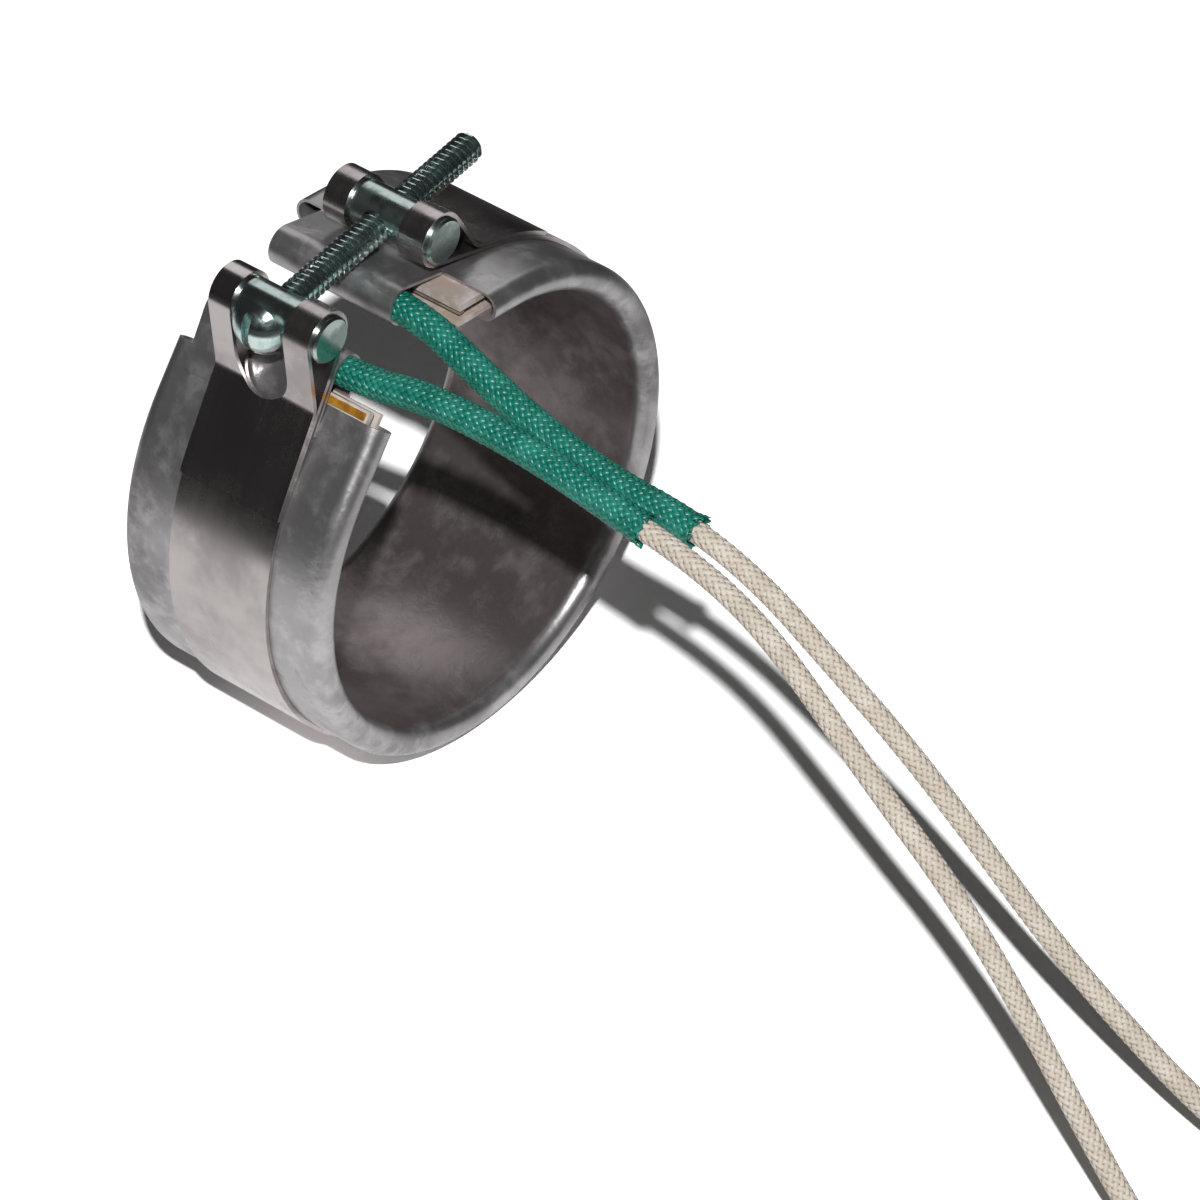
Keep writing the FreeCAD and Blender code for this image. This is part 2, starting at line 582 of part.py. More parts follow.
# ---- check and write ----------------------------------------------------------------------------
doc.recompute()
NODES = [
    "sheath", "inner_mica", "mica_core", "resistance_ribbon", "outer_mica", "strap",
    "near_barrel", "far_barrel", "clamp_screw", "near_terminal", "far_terminal", "near_crimp",
    "far_crimp", "near_sleeve", "far_sleeve", "near_lead", "far_lead", "near_conductor",
    "far_conductor",
]
for obj in doc.Objects:
    bad = [s for s in obj.State if s in ("Invalid", "Error")]
    assert not bad, f"{obj.Name}: {obj.State}"
by_label = {o.Label: o for o in doc.Objects}
for name in NODES:
    shape = by_label[name].Shape
    assert not shape.isNull() and shape.isValid() and shape.Solids, name
    print(f"{name}: {len(shape.Solids)} solid, {shape.Volume:.1f} mm3, faces {len(shape.Faces)}")
os.makedirs("parts", exist_ok=True)
for name in NODES:
    by_label[name].Shape.exportStep(f"parts/{name}.step")
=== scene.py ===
import json
import math

import bmesh
import bpy
import numpy as np
from mathutils import Matrix, Vector


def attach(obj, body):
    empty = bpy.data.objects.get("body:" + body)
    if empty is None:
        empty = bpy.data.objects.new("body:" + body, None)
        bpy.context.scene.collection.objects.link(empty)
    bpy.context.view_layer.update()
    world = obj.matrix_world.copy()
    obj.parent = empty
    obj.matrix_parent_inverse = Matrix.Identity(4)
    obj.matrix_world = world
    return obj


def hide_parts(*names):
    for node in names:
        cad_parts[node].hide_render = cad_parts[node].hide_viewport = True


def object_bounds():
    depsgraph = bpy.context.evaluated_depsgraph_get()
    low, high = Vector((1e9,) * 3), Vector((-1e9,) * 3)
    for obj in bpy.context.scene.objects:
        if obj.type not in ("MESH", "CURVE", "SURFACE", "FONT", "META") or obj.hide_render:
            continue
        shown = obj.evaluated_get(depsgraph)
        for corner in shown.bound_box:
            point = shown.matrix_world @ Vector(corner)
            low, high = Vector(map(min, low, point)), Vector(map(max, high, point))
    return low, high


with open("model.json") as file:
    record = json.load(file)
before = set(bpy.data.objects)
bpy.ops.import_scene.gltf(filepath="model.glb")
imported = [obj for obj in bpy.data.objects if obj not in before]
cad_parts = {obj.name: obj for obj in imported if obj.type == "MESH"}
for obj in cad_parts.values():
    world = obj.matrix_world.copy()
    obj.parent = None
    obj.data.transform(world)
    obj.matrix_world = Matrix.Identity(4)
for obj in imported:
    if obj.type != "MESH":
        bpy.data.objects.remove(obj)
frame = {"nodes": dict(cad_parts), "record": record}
cad_low, cad_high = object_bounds()

# ---- resistance winding on its core --------------------------------------------------------------
# A strip of mica with nickel-chromium ribbon wound over it from end to end. It is sandwiched inside
# the heater, and only its edges could be seen through the open rims.
mm = 0.001
cad = frame["nodes"]


def new_group(name, inputs, outputs):
    """An empty shader group; a size is (name, default), a vector has no default."""
    group = bpy.data.node_groups.new(name, "ShaderNodeTree")
    for label, start in inputs:
        kind = "NodeSocketVector" if start is None else "NodeSocketFloat"
        socket = group.interface.new_socket(label, in_out="INPUT", socket_type=kind)
        if start is not None:
            socket.default_value = start
    for label in outputs:
        group.interface.new_socket(label, in_out="OUTPUT", socket_type="NodeSocketFloat")
    return group, group.nodes.new("NodeGroupInput"), group.nodes.new("NodeGroupOutput")


def add_node(tree, kind, links=(), **values):
    """A node with its sockets set from values and fed from (socket, source) links."""
    node = tree.nodes.new(kind)
    for key, value in values.items():
        setattr(node, key, value)
    for socket, source in links:
        target = node.inputs[socket]
        if isinstance(source, (int, float, tuple)):
            target.default_value = source
        else:
            tree.links.new(source, target)
    return node


# soft clouds of stain or oxide: a noise cut to the part of its range between Low and High
clouds, c_in, c_out = new_group(
    "Clouds", [("Place", None), ("Scale", 60.0), ("Low", 0.45), ("High", 0.6)], ["Mask"])
c_noise = add_node(clouds, "ShaderNodeTexNoise", [
    ("Vector", c_in.outputs["Place"]), ("Scale", c_in.outputs["Scale"]), ("Detail", 6.0),
    ("Roughness", 0.62)])
c_cut = add_node(clouds, "ShaderNodeMapRange", [
    ("Value", c_noise.outputs["Fac"]), ("From Min", c_in.outputs["Low"]),
    ("From Max", c_in.outputs["High"])], interpolation_type="SMOOTHSTEP")
clouds.links.new(c_cut.outputs["Result"], c_out.inputs["Mask"])


class Finish:
    """A piece's material under construction: its tree, its Principled BSDF and its coordinates."""

    def __init__(self, name, metallic, roughness):
        self.material = bpy.data.materials.new(name)
        self.material.use_nodes = True
        self.tree = self.material.node_tree
        self.shader = self.tree.nodes["Principled BSDF"]
        self.shader.inputs["Metallic"].default_value = metallic
        self.shader.inputs["Roughness"].default_value = roughness
        self.place = self.node("ShaderNodeTexCoord").outputs["Object"]

    def node(self, kind, links=(), **values):
        return add_node(self.tree, kind, links, **values)

    def group(self, group, output, **sockets):
        node = self.node("ShaderNodeGroup", node_tree=group)
        for label, source in sockets.items():
            target = node.inputs[label.replace("_", " ")]
            if isinstance(source, (int, float)):
                target.default_value = source
            else:
                self.tree.links.new(source, target)
        return node.outputs[output]

    def blend(self, mask, first, second, way="MIX"):
        """Colours mixed by a mask; each is a colour or a socket."""
        node = self.node("ShaderNodeMix", data_type="RGBA", blend_type=way)
        for index, source in ((0, mask), (6, first), (7, second)):
            if isinstance(source, (int, float)):
                node.inputs[index].default_value = source
            elif isinstance(source, tuple):
                node.inputs[index].default_value = source + (1.0,)
            else:
                self.tree.links.new(source, node.inputs[index])
        return node.outputs[2]

    def math(self, way, first, second=0.0, clamp=False):
        links = [(0, first), (1, second)]
        return self.node("ShaderNodeMath", links, operation=way, use_clamp=clamp).outputs[0]

    def spread(self, mask, low, high):
        return self.node("ShaderNodeMapRange", [
            ("Value", mask), ("To Min", low), ("To Max", high)]).outputs["Result"]

    def colour(self, source):
        self.tree.links.new(source, self.shader.inputs["Base Color"])

    def rough(self, source):
        self.tree.links.new(source, self.shader.inputs["Roughness"])

    def relief(self, height, strength, depth):
        bump = self.node("ShaderNodeBump", [
            ("Height", height), ("Strength", strength), ("Distance", depth)])
        self.tree.links.new(bump.outputs["Normal"], self.shader.inputs["Normal"])


def dress(node, finish):
    """Give a CAD node its finish."""
    slots = cad[node].data.materials
    for index in range(max(1, len(slots))):
        if index < len(slots):
            slots[index] = finish.material
        else:
            slots.append(finish.material)


ribbon = Finish("ribbon_alloy", 1.0, 0.38)
tint = ribbon.group(clouds, "Mask", Place=ribbon.place, Scale=160.0, Low=0.4, High=0.65)
ribbon.colour(ribbon.blend(tint, (0.46, 0.42, 0.38), (0.24, 0.19, 0.16)))
ribbon.rough(ribbon.spread(tint, 0.3, 0.5))
dress("resistance_ribbon", ribbon)

# ---- mica sheets ---------------------------------------------------------------------------------
# Built-up mica, split flakes bonded with silicone: the inner and outer sheets insulate the winding
# from the sheath and stand out past its ends. They are pale, pinkish and splintery on their edges.
mica = Finish("mica", 0.0, 0.34)
flake = mica.node("ShaderNodeTexVoronoi", [
    ("Vector", mica.place), ("Scale", 420.0), ("Randomness", 1.0)], feature="F1")
layers = mica.node("ShaderNodeMapping", [("Vector", mica.place), ("Scale", (900.0, 90.0, 900.0))])
splinter = mica.node("ShaderNodeTexNoise", [
    ("Vector", layers.outputs["Vector"]), ("Scale", 1.0), ("Detail", 4.0)])
haze = mica.group(clouds, "Mask", Place=mica.place, Scale=170.0, Low=0.42, High=0.62)
tone = mica.blend(haze, (0.50, 0.41, 0.36), (0.74, 0.68, 0.65))
tone = mica.blend(mica.math("MULTIPLY", splinter.outputs["Fac"], 0.45), tone, (0.52, 0.40, 0.33))
mica.colour(mica.blend(0.08, tone, flake.outputs["Color"], "SOFT_LIGHT"))
mica.rough(mica.spread(haze, 0.22, 0.5))
mica.relief(splinter.outputs["Fac"], 0.5, 0.15 * mm)
mica.shader.inputs["Coat Weight"].default_value = 0.3
for name in ("inner_mica", "mica_core", "outer_mica"):
    dress(name, mica)

# ---- sheath --------------------------------------------------------------------------------------
# One aluminised steel sheet rolled to a C-section round the mica, its ends folded back into
# rounded noses. Handling and heat have left it mottled. The bore wall is painted darker and
# browner than the outside as painted shade.
sheath = Finish("sheath_steel", 0.88, 0.4)
wide = sheath.group(clouds, "Mask", Place=sheath.place, Scale=38.0, Low=0.42, High=0.66)
small = sheath.group(clouds, "Mask", Place=sheath.place, Scale=190.0, Low=0.44, High=0.7)
spot = sheath.group(clouds, "Mask", Place=sheath.place, Scale=95.0, Low=0.6, High=0.68)
grey = sheath.blend(wide, (0.46, 0.45, 0.455), (0.27, 0.255, 0.26))
grey = sheath.blend(sheath.math("MULTIPLY", small, 0.7), grey, (0.72, 0.70, 0.71))
grey = sheath.blend(sheath.math("MULTIPLY", spot, 0.5), grey, (0.12, 0.10, 0.10))
apart = sheath.node("ShaderNodeSeparateXYZ", [("Vector", sheath.place)])
across = sheath.math("MULTIPLY", apart.outputs["X"], apart.outputs["X"])
upward = sheath.math("MULTIPLY", apart.outputs["Z"], apart.outputs["Z"])
out = sheath.math("SQRT", sheath.math("ADD", across, upward))
# painted shade: a mask of the bore wall, within 35 mm of the axis and back from the front rim
bore = sheath.node("ShaderNodeMapRange", [
    ("Value", out), ("From Min", 35.0 * mm), ("From Max", 35.35 * mm), ("To Min", 1.0),
    ("To Max", 0.0)]).outputs["Result"]
inside = sheath.node("ShaderNodeMapRange", [
    ("Value", apart.outputs["Y"]), ("From Min", -17.6 * mm), ("From Max", -16.2 * mm)])
bore = sheath.math("MULTIPLY", bore, inside.outputs["Result"])
# painted shade for the bore wall: darker, browner greys than the outside
bore_painted_shade = sheath.blend(wide, (0.33, 0.285, 0.285), (0.19, 0.155, 0.155))
bore_painted_shade = sheath.blend(sheath.math("MULTIPLY", small, 0.4), bore_painted_shade, (0.46, 0.42, 0.42))
sheath.colour(sheath.blend(bore, grey, bore_painted_shade))
sheath.rough(sheath.math("ADD", sheath.spread(wide, 0.34, 0.46), sheath.math(
    "MULTIPLY", small, 0.08)))
grain = sheath.node("ShaderNodeTexNoise", [
    ("Vector", sheath.place), ("Scale", 900.0), ("Detail", 3.0)])
sheath.relief(sheath.math("ADD", grain.outputs["Fac"], sheath.math("MULTIPLY", small, 1.5)),
              0.4, 0.06 * mm)
dress("sheath", sheath)

# ---- terminals and crimps ------------------------------------------------------------------------
# Flat brass tails of the winding, browned to amber, and the plated barrels that squeeze them onto
# the lead's strands inside the folded noses.
amber = Finish("terminal_brass", 0.55, 0.35)
stain = amber.group(clouds, "Mask", Place=amber.place, Scale=500.0, Low=0.4, High=0.65)
amber.colour(amber.blend(stain, (0.80, 0.42, 0.04), (0.42, 0.17, 0.02)))
amber.rough(amber.spread(stain, 0.28, 0.5))
dull = Finish("terminal_tarnished", 0.3, 0.5)
stain = dull.group(clouds, "Mask", Place=dull.place, Scale=500.0, Low=0.4, High=0.65)
dull.colour(dull.blend(stain, (0.40, 0.33, 0.28), (0.22, 0.17, 0.14)))
dress("near_terminal", amber)
dress("far_terminal", dull)
crimp = Finish("crimp_steel", 1.0, 0.3)
stain = crimp.group(clouds, "Mask", Place=crimp.place, Scale=600.0, Low=0.4, High=0.65)
crimp.colour(crimp.blend(stain, (0.62, 0.61, 0.60), (0.36, 0.34, 0.32)))
crimp.rough(crimp.spread(stain, 0.25, 0.45))
for name in ("near_crimp", "far_crimp"):
    dress(name, crimp)

# ---- leads ---------------------------------------------------------------------------------------
# Two limp nickel leads, insulated and braided over with beige glass yarn on a sixteen-carrier
# braider. They leave the noses level, sink over the bore's front rim and run on along the bench.
near_points = [
    (-22.38, 1.9, 33.89), (-22.33, -12.5, 33.94), (-21.8, -24.0, 36.6), (-20.8, -40.5, 35.6),
    (-19.7, -56.0, 31.9), (-19.9, -71.0, 29.6), (-21.0, -83.0, 25.9), (-22.6, -95.0, 18.6),
    (-24.6, -107.0, 11.6), (-26.6, -119.5, 4.9), (-28.2, -132.0, -5.4), (-29.6, -144.5, -18.6),
    (-31.0, -156.5, -30.6), (-33.6, -170.0, -38.3), (-40.0, -184.0, -38.53),
    (-51.5, -193.0, -38.53), (-65.0, -194.5, -38.53), (-76.0, -190.5, -38.53)]
far_points = [
    (-10.14, 1.9, 39.01), (-10.19, -12.0, 38.96), (-10.6, -22.0, 35.2), (-11.9, -35.0, 31.6),
    (-12.5, -49.0, 29.2), (-12.6, -63.0, 29.0), (-12.4, -76.0, 25.0), (-11.9, -88.0, 17.2),
    (-11.3, -100.5, 9.0), (-10.6, -113.0, -1.4), (-10.0, -125.5, -12.2), (-9.4, -138.5, -21.2),
    (-8.6, -152.5, -29.4), (-6.0, -167.0, -37.0), (0.5, -181.0, -38.53), (11.5, -192.0, -38.53),
    (24.5, -197.0, -38.53), (37.0, -196.0, -38.53)]
lead_radius = 1.7 * mm


def spline_of(name, points, bevel=0.0):
    """The cord's one smooth line as a curve object; with a bevel it has a round surface."""
    curve = bpy.data.curves.new(name, "CURVE")
    curve.dimensions = "3D"
    curve.resolution_u = 16
    curve.bevel_depth = bevel
    curve.bevel_resolution = 2
    spline = curve.splines.new("NURBS")
    spline.points.add(len(points) - 1)
    for point, at in zip(spline.points, points):
        point.co = (at[0] * mm, at[1] * mm, at[2] * mm, 1.0)
    spline.order_u = 3
    spline.use_endpoint_u = True
    return bpy.data.objects.new(name, curve)


class Line:
    """Points read from a cord's spline, with the distance along it and an untwisted frame."""

    def __init__(self, name, points):
        wire = bpy.data.meshes.new_from_object(spline_of(name, points))
        self.points = np.array([v.co for v in wire.vertices], float)
        gaps = np.linalg.norm(np.diff(self.points, axis=0), axis=1)
        self.at = np.concatenate([[0.0], np.cumsum(gaps)])
        self.length = float(self.at[-1])
        ahead = np.gradient(self.points, self.at, axis=0)
        self.ahead = ahead / np.linalg.norm(ahead, axis=1)[:, None]
        side = [Vector(self.ahead[0]).orthogonal().normalized()]
        for way, before in zip(self.ahead[1:], self.ahead[:-1]):
            turn = Vector(before).rotation_difference(Vector(way))
            side.append((turn @ side[-1]).normalized())
        self.side = np.array([list(v) for v in side])
        bpy.data.meshes.remove(wire)

    def spot(self, along, angle, radius):
        """Points on a tube round the line, from arrays of distance, angle and radius."""
        read = lambda rows: np.stack([np.interp(along, self.at, rows[:, k]) for k in range(3)], 1)
        centre, ahead, side = read(self.points), read(self.ahead), read(self.side)
        past = np.clip(along - self.length, 0.0, None) + np.clip(along, None, 0.0)
        centre = centre + ahead * past[:, None]
        third = np.cross(ahead, side)
        return centre + radius[:, None] * (
            np.cos(angle)[:, None] * side + np.sin(angle)[:, None] * third)


def braid(name, line, start, end, radius, each_way, lay, width, depth, fray=0.0):
    """Flat yarns braided one over, one under, round a line. Each yarn is a grid, rolled closed and
    laid on its helix. UV runs across and along the yarn, and Tone is one number per yarn."""
    total = 2 * each_way
    steps = int(2 * total * (end - start) / lay)
    bm = bmesh.new()
    for k in range(total):
        bmesh.ops.create_grid(bm, x_segments=steps, y_segments=6, size=0.5,
                              matrix=Matrix.Translation((0.5, 2 * k + 0.5, 0)))
    mesh = bpy.data.meshes.new(name)
    bm.to_mesh(mesh)
    bm.free()
    flat = np.zeros(len(mesh.vertices) * 3)
    mesh.vertices.foreach_get("co", flat)
    flat = flat.reshape(-1, 3)
    yarn = np.floor(flat[:, 1] / 2 + 1e-6)
    turn = (flat[:, 1] - 2 * yarn) * 2 * math.pi
    chance = np.random.default_rng(5)
    reach = 1.0 + fray * chance.uniform(-0.2, 1.0, total)[yarn.astype(int)]
    along = start + flat[:, 0] * (end - start) + (flat[:, 0] > 0.5) * (flat[:, 0] - 0.5) * (
        reach - 1.0)
    way = np.where(yarn % 2 == 0, 1.0, -1.0)
    place = np.floor(yarn / 2)
    middle = radius - 1.05 * depth
    crossing = total * along / lay
    over = way * np.cos(math.pi * crossing)
    tip = np.clip(np.minimum(flat[:, 0], 1 - flat[:, 0]) * steps / 2, 0, 1)
    offset = width / 2 * np.sin(turn) * (0.25 + 0.75 * tip) * (tip > 0)
    rise = depth / 2 * np.cos(turn) * (0.25 + 0.75 * tip) * (tip > 0)
    slope = math.atan2(2 * math.pi * middle, lay)
    spread = np.clip((along - (end - 2.2 * mm)) / (2.2 * mm), 0, 2) if fray else 0 * along
    loose = chance.uniform(0.1, 1.0, total)[yarn.astype(int)] * spread ** 2 * fray * 0.45
    angle = 2 * math.pi * (place / each_way + way * along / lay) + way * offset * math.cos(
        slope) / middle
    placed = line.spot(along - offset * math.sin(slope), angle,
                       middle + 0.55 * depth * over + rise + loose)
    mesh.vertices.foreach_set("co", placed.ravel())
    layer = mesh.uv_layers.new(name="Yarn")
    corner = np.zeros(len(mesh.loops), int)
    mesh.loops.foreach_get("vertex_index", corner)
    uv = np.stack([turn / (2 * math.pi), (along - start) * 100 + 13.7 * yarn], 1)[corner]
    layer.data.foreach_set("uv", uv.ravel())
    tone = mesh.attributes.new("Tone", "FLOAT", "POINT")
    tone.data.foreach_set("value", chance.uniform(0, 1, total)[yarn.astype(int)])
    bm = bmesh.new()
    bm.from_mesh(mesh)
    bmesh.ops.remove_doubles(bm, verts=bm.verts, dist=0.002 * mm)
    bmesh.ops.recalc_face_normals(bm, faces=bm.faces)
    for face in bm.faces:
        face.smooth = True
    bm.to_mesh(mesh)
    bm.free()
    piece = bpy.data.objects.new(name, mesh)
    bpy.context.scene.collection.objects.link(piece)
    return piece


def yarn_finish(name, dark, middle, bright, roughness, specks):
    """Glass yarn: fine filaments along each yarn, tone that changes from yarn to yarn."""
    finish = Finish(name, 0.0, roughness)
    uv = finish.node("ShaderNodeUVMap", uv_map="Yarn").outputs["UV"]
    stretched = finish.node("ShaderNodeMapping", [("Vector", uv), ("Scale", (26.0, 2.2, 1.0))])
    filament = finish.node("ShaderNodeTexNoise", [
        ("Vector", stretched.outputs["Vector"]), ("Scale", 1.0), ("Detail", 2.0)]).outputs["Fac"]
    each = finish.node("ShaderNodeAttribute", attribute_name="Tone").outputs["Fac"]
    cloud = finish.group(clouds, "Mask", Place=finish.place, Scale=260.0, Low=0.4, High=0.65)
    mixed = finish.math("ADD", finish.math("MULTIPLY", filament, 0.9),
                        finish.math("MULTIPLY", each, 0.25))
    mixed = finish.math("SUBTRACT", mixed, 0.12, clamp=True)
    colour = finish.blend(mixed, dark, middle)
    fleck = finish.math("MULTIPLY", cloud, specks)
    finish.colour(finish.blend(fleck, colour, bright))
    finish.rough(finish.spread(filament, roughness - 0.1, roughness + 0.15))
    finish.relief(filament, 0.6, 0.04 * mm)
    return finish


beige = yarn_finish("lead_beige", (0.52, 0.45, 0.37), (0.80, 0.72, 0.62), (0.88, 0.83, 0.74),
                    0.6, 0.4)
lines, leads = {}, {}
for side, points in (("near", near_points), ("far", far_points)):
    line = lines[side] = Line(f"{side}_line", points)
    lead = leads[side] = braid(f"{side}_lead_braid", line, 0.0, line.length, lead_radius, 8,
                               11.2 * mm, 0.82 * mm, 0.2 * mm)
    lead.data.materials.append(beige.material)
    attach(lead, "band")
    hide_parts(f"{side}_lead")

# the rubbery insulation under the braid closes the small gaps between its yarns
under = Finish("lead_insulation", 0.0, 0.7)
shade = under.group(clouds, "Mask", Place=under.place, Scale=300.0, Low=0.4, High=0.65)
under.colour(under.blend(shade, (0.40, 0.34, 0.27), (0.30, 0.25, 0.20)))
for side, points in (("near", near_points), ("far", far_points)):
    tube = spline_of(f"{side}_tube", points, 1.36 * mm)
    tube.data.use_fill_caps = True
    core = bpy.data.objects.new(f"{side}_lead_insulation", bpy.data.meshes.new_from_object(tube))
    bpy.context.scene.collection.objects.link(core)
    core.data.materials.clear()
    core.data.materials.append(under.material)
    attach(core, "band")
    leads[side + "_core"] = core

# ---- stripped ends -------------------------------------------------------------------------------
# Eight millimetres of bare conductor at each lead's far end: nineteen fine nickel wires twisted
# together, left untinned.
wire = Finish("strand", 1.0, 0.3)
dull = wire.group(clouds, "Mask", Place=wire.place, Scale=500.0, Low=0.4, High=0.6)
wire.colour(wire.blend(dull, (0.68, 0.64, 0.58), (0.42, 0.38, 0.33)))
wire.rough(wire.spread(dull, 0.24, 0.42))
strands = {}
for side in ("near", "far"):
    line = lines[side]
    bm = bmesh.new()
    for ring_radius, count in ((0.0, 1), (0.3 * mm, 6), (0.59 * mm, 12)):
        for k in range(count):
            made = bmesh.ops.create_cone(bm, cap_ends=True, segments=6, radius1=0.14 * mm,
                                         radius2=0.14 * mm, depth=1.0)
            cuts = [e for v in made["verts"] for e in v.link_edges
                    if abs(e.verts[0].co.z - e.verts[1].co.z) > 0.5]
            bmesh.ops.subdivide_edges(bm, edges=list(set(cuts)), cuts=16)
            fresh = [v for v in bm.verts if not v.tag]
            for v in fresh:
                v.tag = True
                share = v.co.z + 0.5
                turn = 2 * math.pi * (k / count + 0.55 * share) + 0.1
                flare = 1.0 + 0.0 * share
                v.co.x += ring_radius * math.cos(turn) * flare
                v.co.y += ring_radius * math.sin(turn) * flare
                v.co.z = share
    mesh = bpy.data.meshes.new(f"{side}_strands")
    bm.to_mesh(mesh)
    bm.free()
    spots = np.array([v.co for v in mesh.vertices], float)
    placed = line.spot(line.length - 1.0 * mm + spots[:, 2] * 9.0 * mm,
                       np.arctan2(spots[:, 1], spots[:, 0]), np.hypot(spots[:, 0], spots[:, 1]))
    mesh.vertices.foreach_set("co", placed.ravel())
    strand = strands[side] = bpy.data.objects.new(f"{side}_strands", mesh)
    bpy.context.scene.collection.objects.link(strand)
    mesh.materials.append(wire.material)
    for face in mesh.polygons:
        face.use_smooth = True
    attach(strand, "band")
    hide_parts(f"{side}_conductor")

# ---- sleeves -------------------------------------------------------------------------------------
# Twenty-four-carrier glass sleeving dyed green and varnished, pushed over each lead into its nose.
# The cut ends are unbound, so their yarns stand out and fray.
green = yarn_finish("sleeve_green", (0.0, 0.10, 0.07), (0.0, 0.26, 0.185), (0.06, 0.44, 0.34),
                    0.36, 0.3)
green.shader.inputs["Coat Weight"].default_value = 0.35
green.shader.inputs["Coat Roughness"].default_value = 0.28
for side, reach in (("near", 61.0 * mm), ("far", 64.5 * mm)):
    line = lines[side]
    ends = [float(np.interp(y, -line.points[:, 1], line.at)) for y in (1.0 * mm, reach)]
    sleeve = braid(f"{side}_sleeve_braid", line, ends[0], ends[1], 2.4 * mm, 12, 15.0 * mm,
                   0.92 * mm, 0.22 * mm, fray=1.2 * mm)
    sleeve.data.materials.append(green.material)
    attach(sleeve, "band")
    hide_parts(f"{side}_sleeve")
    way = line.points[0]

# ---- strap ---------------------------------------------------------------------------------------
# One strip of bright stainless steel, led round the sheath, looped round both barrels and
# spot-welded down onto itself. Windows in the loops let the screw and its head through.
strap = Finish("strap_steel", 1.0, 0.2)
film = strap.group(clouds, "Mask", Place=strap.place, Scale=70.0, Low=0.4, High=0.68)
rolled = strap.node("ShaderNodeMapping", [
    ("Vector", strap.place), ("Scale", (40.0, 1100.0, 40.0))])
line_noise = strap.node("ShaderNodeTexNoise", [
    ("Vector", rolled.outputs["Vector"]), ("Scale", 1.0), ("Detail", 3.0)]).outputs["Fac"]
strap.colour(strap.blend(film, (0.60, 0.555, 0.55), (0.45, 0.405, 0.405)))
strap.rough(strap.math("ADD", strap.spread(film, 0.16, 0.26), strap.math(
    "MULTIPLY", line_noise, 0.08)))
strap.relief(line_noise, 0.05, 0.02 * mm)
dress("strap", strap)

# ---- barrels -------------------------------------------------------------------------------------
# Two short cross-drilled rods, turned and zinc plated: the near one has a flat seat for the
# screw's head, the far one is tapped. The plating has a faint green tint.
zinc = Finish("barrel_steel", 1.0, 0.26)
veil = zinc.group(clouds, "Mask", Place=zinc.place, Scale=240.0, Low=0.42, High=0.64)
zinc.colour(zinc.blend(veil, (0.52, 0.62, 0.59), (0.34, 0.42, 0.40)))
zinc.rough(zinc.spread(veil, 0.2, 0.36))
rings = zinc.node("ShaderNodeTexNoise", [("Vector", zinc.place), ("Scale", 2200.0)])
zinc.relief(rings.outputs["Fac"], 0.15, 0.02 * mm)
for name in ("near_barrel", "far_barrel"):
    dress(name, zinc)

# ---- clamp screw ---------------------------------------------------------------------------------
# A number 10 machine screw with a round slotted head and rolled thread, zinc plated with a
# blue-green cast. It passes through the near barrel and threads into the far one.
joint = frame["record"]["behaviour"]["joints"][0]
axis = Vector(joint["axis"]).normalized()
seat = Vector(joint["pos_m"]) - axis * 3.52 * mm
pitch, major, minor = 1.058 * mm, 2.41 * mm, 1.86 * mm
shank = 46.6 * mm
head_height, head_rim, head_edge = 3.3 * mm, 4.5 * mm, 0.25 * mm
bm = bmesh.new()
steps = 24
turns = int((shank + 2 * pitch) / pitch)
profile = [(0.0, minor), (0.30, major), (0.42, major), (0.72, minor), (1.0, minor)]
verts = [bm.verts.new((share * pitch - pitch, 0, r)) for share, r in profile]
edges = [bm.edges.new(pair) for pair in zip(verts, verts[1:])]
bmesh.ops.spin(bm, geom=verts + edges, cent=(0, 0, 0), axis=(1, 0, 0),
               dvec=(pitch / steps, 0, 0), angle=2 * math.pi * turns, steps=steps * turns)
bmesh.ops.remove_doubles(bm, verts=bm.verts, dist=0.003 * mm)
for cut, way in ((1.2 * mm, -1), (shank, 1)):
    bmesh.ops.bisect_plane(bm, geom=bm.verts[:] + bm.edges[:] + bm.faces[:], dist=1e-7,
                           plane_co=(cut, 0, 0), plane_no=(way, 0, 0), clear_outer=True)
for v in bm.verts:
    rest = math.hypot(v.co.y, v.co.z)
    most = minor + (shank - v.co.x) * 0.9
    if rest > most and v.co.x > shank - 1.5 * mm:
        v.co.y *= most / rest
        v.co.z *= most / rest
edge_loop = [e for e in bm.edges if e.is_boundary]
bmesh.ops.holes_fill(bm, edges=edge_loop, sides=0)
# the head and its plain neck are turned in one sweep, then slotted
head = [(1.3 * mm, 0.0), (1.3 * mm, minor + 0.06 * mm), (0.25 * mm, minor + 0.1 * mm),
        (0.0, minor + 0.35 * mm), (0.0, head_rim - 0.15 * mm),
        (-head_edge * 0.5, head_rim + 0.08 * mm)]
crown = head_height - head_edge
dome = (head_rim ** 2 + crown ** 2) / (2 * crown)
for k in range(9):
    bend = math.asin(head_rim / dome) * (1 - k / 8)
    head.append((-head_height + dome - dome * math.cos(bend), dome * math.sin(bend)))
verts = [bm.verts.new((x, 0, r)) for x, r in head]
edges = [bm.edges.new(pair) for pair in zip(verts, verts[1:])]
bmesh.ops.spin(bm, geom=verts + edges, cent=(0, 0, 0), axis=(1, 0, 0), dvec=(0, 0, 0),
               angle=2 * math.pi, steps=48, use_merge=True)
bmesh.ops.remove_doubles(bm, verts=bm.verts, dist=0.003 * mm)
bmesh.ops.recalc_face_normals(bm, faces=bm.faces)
screw_mesh = bpy.data.meshes.new("clamp_screw_threaded")
bm.to_mesh(screw_mesh)
bm.free()
screw = bpy.data.objects.new("clamp_screw_threaded", screw_mesh)
bpy.context.scene.collection.objects.link(screw)
bm = bmesh.new()
bmesh.ops.create_cube(bm, size=1.0)
bmesh.ops.scale(bm, vec=(1.7 * mm * 2, 1.3 * mm, 12 * mm), verts=bm.verts)
bmesh.ops.translate(bm, vec=(-head_height, 0, 0), verts=bm.verts)
